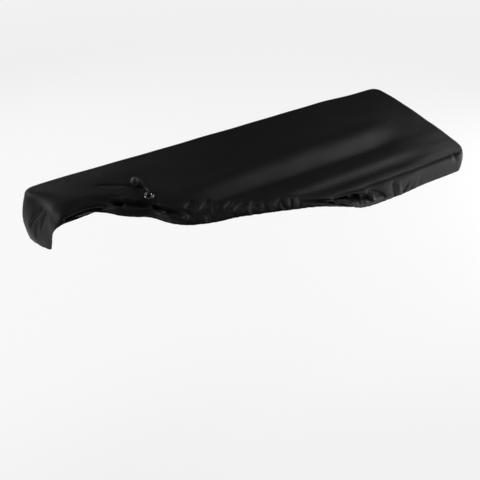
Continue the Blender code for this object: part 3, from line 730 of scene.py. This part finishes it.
def eyeletMetal():
    # blackened metal, rubbed brighter and duller in patches
    nodes, values = Nodes("eyeletMetal"), smallParts["eyelet"]
    where = nodes.add("ShaderNodeTexCoord").outputs["Object"]
    rub = nodes.add("ShaderNodeTexNoise", Vector=where, **values["rub"]).outputs["Fac"]
    colour = nodes.blend(rub, values["dark"], values["light"])
    rough = nodes.maths("ADD", values["roughness"],
                        nodes.maths("MULTIPLY", rub, values["rubRoughness"]))
    return nodes.finish({"Base Color": colour, "Roughness": rough, "Metallic": 1.0})


def lockPlastic():
    # moulded plastic with a fine satin grain
    nodes, values = Nodes("lockPlastic"), smallParts["lock"]
    where = nodes.add("ShaderNodeTexCoord").outputs["Object"]
    grain = nodes.add("ShaderNodeTexNoise", Vector=where, **values["grain"])
    bump = nodes.add("ShaderNodeBump", Strength=values["bump"], Distance=values["relief"],
                     Height=grain.outputs["Fac"])
    patches = nodes.add("ShaderNodeTexNoise", Vector=where, **values["patches"])
    return nodes.finish({
        "Base Color": nodes.blend(patches.outputs["Fac"], values["dark"], values["light"]),
        "Normal": bump.outputs["Normal"], "Roughness": values["roughness"]})


def cordBraid():
    # braided elastic: two families of slanted strands that cross, on a map with x the share of the
    # way round the cord and y metres along it. The colour follows the strands' height, so painted
    # shade darkens the grooves between them
    nodes, values = Nodes("cordBraid"), smallParts["cord"]
    ways = nodes.ways("clothMap")
    turn = nodes.maths("MULTIPLY", ways["X"], values["plaitsRound"])
    run = nodes.maths("DIVIDE", ways["Y"], values["plait"])
    one = nodes.wave(nodes.maths("ADD", run, turn))
    two = nodes.wave(nodes.maths("SUBTRACT", run, turn))
    over = nodes.maths("MAXIMUM", one, two)
    bump = nodes.add("ShaderNodeBump", Strength=values["bump"], Distance=values["relief"],
                     Height=over)
    # painted shade: from the dark colour low in the grooves between strands to the light one on
    # their crests
    share = nodes.maths("MULTIPLY", nodes.maths("ADD", over, 1.0), 0.5)
    return nodes.finish({
        "Base Color": nodes.blend(share, values["dark"], values["light"]),
        "Normal": bump.outputs["Normal"], "Roughness": values["roughness"],
        "Sheen Weight": values["sheen"]})


clothMaterial, metalMaterial = knitCloth(), eyeletMetal()
plasticMaterial, braidMaterial = lockPlastic(), cordBraid()
print("materials made")

coverCloth = newMesh("coverCloth", clothPoints, clothFaces, clothMaterial,
                     {"clothMap": clothUv, "hemMap": hemUv})
wall = coverCloth.modifiers.new("wall", "SOLIDIFY")
wall.thickness = cover["thickness"] * mm
wall.offset = -1.0
wall.use_rim = True
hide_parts("cover_cloth")
print("cover made")

hardware = {
    "eyeletAt": (233.2, 210.8), "eyeletRadius": 9.0, "eyeletWire": 3.4, "eyeletFlatness": 0.62,
    "eyeletSides": (20, 56),              # round the wire, round the ring
    "lockAt": (223.1, 263.3), "lockRadius": 10.8, "lockSeat": 6.0, "lockBore": 3.6,
    "lockSides": (41, 48),                # from mouth to mouth, round the bore
    "lockHold": (13.0, 24.0),             # the strands leave the lock's straight line over these
    "mouth": 0.9, "lip": (0.25, 0.05, 0.6),   # the lip's width, height and depth in the bore
    "groove": (0.035, 0.035),             # share of the radius, half width in radians
    "cordRadius": 1.25, "cordSpacing": 3.2, "cordPoints": 40, "cordSides": 12,
    "tailRadius": 0.7, "tailPoints": 12, "tailSides": 8,
    "seatGap": 0.5, "seatPoints": 12,
}

# the doubled cord's middle line, from its cut ends through the lock to the eyelet:
# plan x and y, height above the cloth
cordRoute = np.array([
    (218.8, 250, 11.3),
    (223.1, 263.3, 11.3),
    (225.8, 271.6, 11.3),
    (226.9, 275, 10.9),
    (228.8, 278.6, 9.9),
    (232.1, 280.8, 8.6),
    (236, 280.9, 7.3),
    (239.5, 279, 6.2),
    (241.6, 275.4, 5.3),
    (242.1, 270.4, 4.6),
    (241.5, 262.8, 3.8),
    (240.4, 254, 3.1),
    (239.7, 245, 2.8),
    (239.3, 237.5, 2.8),
    (238.6, 230.5, 4),
    (237.4, 224.5, 5.9),
    (235.9, 219.2, 6.7),
    (234.9, 215.8, 5.4),
    (234.3, 212.6, 2.9),
])

# short cord ends on the cloth: node, plan start, plan end
tails = {
    "tailSide": ("cord_tail_side", (245.6, 220.2), (264.2, 212.4)),
    "tailFront": ("cord_tail_front", (236.9, 197.0), (231.4, 186.6)),
}

clothTree = BVHTree.FromPolygons(clothPoints.tolist(), clothFaces.tolist())


def onCloth(x, y, lift):
    # the cloth's normal under plan position x, y, and the point a lift along it from the cloth
    castFrom = 0.2                        # metres, above all of the cloth
    above = Vector(((x - origin[0]) * mm, (y - origin[1]) * mm, castFrom))
    point, normal, _, _ = clothTree.ray_cast(above, Vector((0, 0, -1)))
    return point + normal * lift * mm, normal


def frameOn(point, normal, heading):
    # matrix with z along the normal and x along the heading laid into the surface
    z = normal.normalized()
    x = (heading - z * heading.dot(z)).normalized()
    turn = Matrix((x, z.cross(x), z)).transposed().to_4x4()
    return Matrix.Translation(point) @ turn


def ringSeat(x, y, reach, lift):
    # middle and normal of a ring, or a ball's foot, on the cloth: it clears the points round it
    turns = np.linspace(0.0, 2 * np.pi, hardware["seatPoints"], endpoint=False)
    around = [onCloth(x + reach * math.cos(a), y + reach * math.sin(a), 0.0) for a in turns]
    normal = sum((n for _, n in around), Vector()).normalized()
    middle = onCloth(x, y, 0.0)[0]
    rise = max((point - middle).dot(normal) for point, _ in around)
    return middle + normal * (rise + lift * mm), normal


endCap = [(0.02, 1.0), (0.7, 0.8)]        # size of a closing ring, and its push past the end
endRounding = 0.35                        # how far a full push goes, in radii


def tubeAlong(name, path, radius, sides, material):
    # round tube: path point + radius * (cos a * side + sin a * lift), closed by shrinking rings
    path = np.asarray(path, float)
    heading = np.gradient(path, axis=0)
    heading /= np.linalg.norm(heading, axis=1)[:, None]
    side = np.cross(heading, (0.0, 0.0, 1.0))
    side /= np.linalg.norm(side, axis=1)[:, None]
    lift = np.cross(side, heading)
    a = np.linspace(0.0, 2 * np.pi, sides, endpoint=False)
    ring = (np.cos(a)[None, :, None] * side[:, None] + np.sin(a)[None, :, None] * lift[:, None])
    body = path[:, None] + radius * ring
    first = [path[0] - heading[0] * radius * endRounding * push + radius * size * ring[0]
             for size, push in endCap]
    last = [path[-1] + heading[-1] * radius * endRounding * push + radius * size * ring[-1]
            for size, push in reversed(endCap)]
    rows = np.concatenate([np.array(first), body, np.array(last)])
    count, grid = len(rows), np.arange(len(rows) * sides).reshape(len(rows), sides)
    upper, lower = grid[:-1], grid[1:]
    faces = np.stack([upper, np.roll(upper, -1, 1), np.roll(lower, -1, 1), lower], 2)
    lengths = np.concatenate([[0.0], np.cumsum(np.linalg.norm(np.diff(path, axis=0), axis=1))])
    v = np.concatenate([[lengths[0]] * 2, lengths, [lengths[-1]] * 2])
    u = np.linspace(0.0, 1.0, sides, endpoint=False)
    uv = np.stack([np.repeat(u[None], count, 0), np.repeat(v[:, None], sides, 1)], 2)
    piece = newMesh(name, rows.reshape(-1, 3), faces.reshape(-1, 4), material,
                    {"clothMap": uv.reshape(-1, 2)})
    return piece, lengths[-1]


def spunSurface(name, profile, sides, place, material):
    # surface of revolution: (radius, height) pairs turned about the z axis of the place's matrix,
    # each point (radius * cos a, radius * sin a, height), with the last pair joined to the first
    profile = np.asarray(profile, float) * mm
    a = np.linspace(0.0, 2 * np.pi, sides, endpoint=False)
    rings = np.stack([profile[:, :1] * np.cos(a), profile[:, :1] * np.sin(a),
                      np.repeat(profile[:, 1:], sides, 1)], 2)
    matrix = np.array(place)
    points = rings.reshape(-1, 3) @ matrix[:3, :3].T + matrix[:3, 3]
    grid = np.arange(len(profile) * sides).reshape(len(profile), sides)
    upper, lower = grid, np.roll(grid, -1, 0)
    faces = np.stack([upper, np.roll(upper, -1, 1), np.roll(lower, -1, 1), lower], 2)
    return newMesh(name, points, faces.reshape(-1, 4), material)


def makeEyelet():
    # rolled grommet: a flattened ring of wire lying on the cloth, its section
    # (ring radius + wire * cos a, wire * flatness * sin a)
    lift = hardware["eyeletWire"] * hardware["eyeletFlatness"] + hardware["seatGap"]
    point, normal = ringSeat(*hardware["eyeletAt"], hardware["eyeletRadius"], lift)
    place = frameOn(point, normal, Vector((1, 0, 0)))
    wireSides, ringSides = hardware["eyeletSides"]
    a = np.linspace(0.0, 2 * np.pi, wireSides, endpoint=False)
    profile = np.stack([hardware["eyeletRadius"] + hardware["eyeletWire"] * np.cos(a),
                        hardware["eyeletWire"] * hardware["eyeletFlatness"] * np.sin(a)], 1)
    ring = spunSurface("eyeletRing", profile[::-1], ringSides, place, metalMaterial)
    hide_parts("eyelet")


def makeLock():
    # ball turned about its bore: (radius * sin a, radius * cos a) from mouth to mouth, less a
    # parting groove, depth * exp(-((a - pi / 2) / width)^2), then the lips and the bore's wall
    point, normal = ringSeat(*hardware["lockAt"], hardware["lockSeat"],
                             hardware["lockRadius"] + hardware["seatGap"])
    heading = cordRoute[2] - cordRoute[0]
    seat = frameOn(point, normal, Vector((heading[0], heading[1], 0.0)))
    radius, bore = hardware["lockRadius"], hardware["lockBore"]
    mouth = math.asin((bore + hardware["mouth"]) / radius)
    ballSides, turnSides = hardware["lockSides"]
    a = np.linspace(mouth, math.pi - mouth, ballSides)
    depth, width = hardware["groove"]
    groove = 1.0 - depth * np.exp(-((a - math.pi * 0.5) / width)**2)
    ball = np.stack([radius * groove * np.sin(a), radius * groove * np.cos(a)], 1)
    rim = radius * math.cos(mouth)
    out, up, down = hardware["lip"]
    inside = np.array([(bore + out, -rim - up), (bore, -rim + down), (bore, 0.0),
                       (bore, rim - down), (bore + out, rim + up)])
    profile = np.concatenate([ball, inside])
    lock = spunSurface("lockBall", profile[::-1], turnSides,
                       seat @ Matrix.Rotation(math.pi / 2, 4, "Y"), plasticMaterial)
    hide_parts("cord_lock")
    return lock, seat


def strandPath(seat, side):
    # the doubled cord's route set off to one side by half the spacing: straight where the lock
    # holds it, then its lift above the cloth, eased from one to the other
    reach = np.arange(len(cordRoute), dtype=float)
    route = curveThrough(np.linspace(0.0, reach[-1], hardware["cordPoints"]), reach, cordRoute)
    heading = np.gradient(route[:, :2], axis=0)
    heading /= np.linalg.norm(heading, axis=1)[:, None]
    route[:, 0] -= heading[:, 1] * side * hardware["cordSpacing"] / 2
    route[:, 1] += heading[:, 0] * side * hardware["cordSpacing"] / 2
    lockX, lockY = hardware["lockAt"]
    points = []
    for x, y, lift in route:
        plan = Vector(((x - lockX) * mm, (y - lockY) * mm, 0.0))
        rise = (lift - hardware["lockRadius"] - hardware["seatGap"]) * mm
        straight = seat @ Vector((plan.dot(seat.col[0].xyz), plan.dot(seat.col[1].xyz), rise))
        free = float(easeStep(plan.length / mm, *hardware["lockHold"]))
        points.append(straight.lerp(onCloth(x, y, lift)[0], free))
    return np.array(points)[::-1]


makeEyelet()
lockBall, lockSeat = makeLock()
for name, node, side, carried in (("strandLeft", "drawcord_left", 1.0, [lockBall]),
                                  ("strandRight", "drawcord_right", -1.0, [])):
    path = strandPath(lockSeat, side)
    strand, length = tubeAlong(name, path, hardware["cordRadius"] * mm, hardware["cordSides"],
                               braidMaterial)
    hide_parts(node)
    print(f"{name}: {length * 1000:.1f} mm")
for name, (node, start, end) in tails.items():
    plan = np.linspace(start, end, hardware["tailPoints"])
    path = [onCloth(x, y, hardware["tailRadius"] + hardware["seatGap"])[0] for x, y in plan]
    tail, length = tubeAlong(name, path, hardware["tailRadius"] * mm, hardware["tailSides"],
                             braidMaterial)
    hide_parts(node)
    print(f"{name}: {length * 1000:.1f} mm")

studio = {
    "floorDrop": 0.85, "floorSize": 60.0, "floorTone": 0.25, "floorRoughness": 0.9,
    # the floor's own glow near the object and far from it, and the distances between them
    "floorGlow": (0.78, 0.94), "floorFade": (1.0, 7.0),
    # the backdrop is bright at the horizon and dark overhead: heights (sine) and strengths
    "fade": (0.0, 0.1), "horizonAndZenith": (0.6, 0.0),
    "lampReach": 2.6, "lampSide": 0.9,
    # name: azimuth (0 in front, 90 at the right), elevation, watts
    "lamps": {
        "frontRightLow": (60, -8, 15.5),
        "rightLow": (90, -8, 22.5),
        "rightSoftbox": (90, 35, 15.5),
        "rightHigh": (90, 55, 6.4),
        "backLow": (180, 15, 10.5),
        "backSoftbox": (180, 35, 2.3),
        "backLeftSoftbox": (240, 35, 29.0),
        "leftLow": (240, 5, 4.0),
    },
}


def makeFloor():
    # a wide square whose own glow goes from the near value to the far one by smoothstep
    half = studio["floorSize"] / 2
    points = np.array([(-half, -half, 0), (half, -half, 0), (half, half, 0), (-half, half, 0)],
                      float) - (0.0, 0.0, studio["floorDrop"])
    nodes = Nodes("paleFloor")
    where = nodes.add("ShaderNodeTexCoord")
    away = nodes.add("ShaderNodeVectorMath", {"operation": "LENGTH"}, in0=where.outputs["Object"])
    glow = nodes.add("ShaderNodeMapRange", {"interpolation_type": "SMOOTHSTEP"},
                     in0=away.outputs["Value"])
    for socket, value in zip(glow.inputs[1:5], (*studio["floorFade"], *studio["floorGlow"])):
        socket.default_value = value
    material = nodes.finish({
        "Base Color": (*[studio["floorTone"]] * 3, 1.0), "Roughness": studio["floorRoughness"],
        "Specular IOR Level": 0.0, "Emission Color": (1.0, 1.0, 1.0, 1.0),
        "Emission Strength": glow.outputs["Result"]})
    floor = newMesh("floor", points, np.array([(0, 1, 2, 3)]), material, body=None)


def makeLamps():
    # square soft lamps, each turned to the object from its own direction
    for name, (azimuth, elevation, watts) in studio["lamps"].items():
        away = directionOf(azimuth, elevation)
        data = bpy.data.lights.new(name, "AREA")
        data.size, data.energy = studio["lampSide"], watts
        addTurned(name, data, away * studio["lampReach"], away).visible_camera = False


def makeWorld():
    # white backdrop whose strength falls by smoothstep with the sine of the elevation
    world = bpy.data.worlds.new("studio")
    world.use_nodes = True
    tree = world.node_tree
    where = tree.nodes.new("ShaderNodeTexCoord")
    axes = tree.nodes.new("ShaderNodeSeparateXYZ")
    fade = tree.nodes.new("ShaderNodeMapRange")
    fade.interpolation_type = "SMOOTHSTEP"
    for socket, value in zip(fade.inputs[1:5], (*studio["fade"], *studio["horizonAndZenith"])):
        socket.default_value = value
    tree.links.new(where.outputs["Generated"], axes.inputs[0])
    tree.links.new(axes.outputs["Z"], fade.inputs["Value"])
    tree.links.new(fade.outputs["Result"], tree.nodes["Background"].inputs["Strength"])
    tree.nodes["Background"].inputs["Color"].default_value = (1.0, 1.0, 1.0, 1.0)
    bpy.context.scene.world = world


makeFloor()
makeLamps()
makeWorld()
bpy.context.scene.view_settings.view_transform = "Standard"
print("floor and light made")
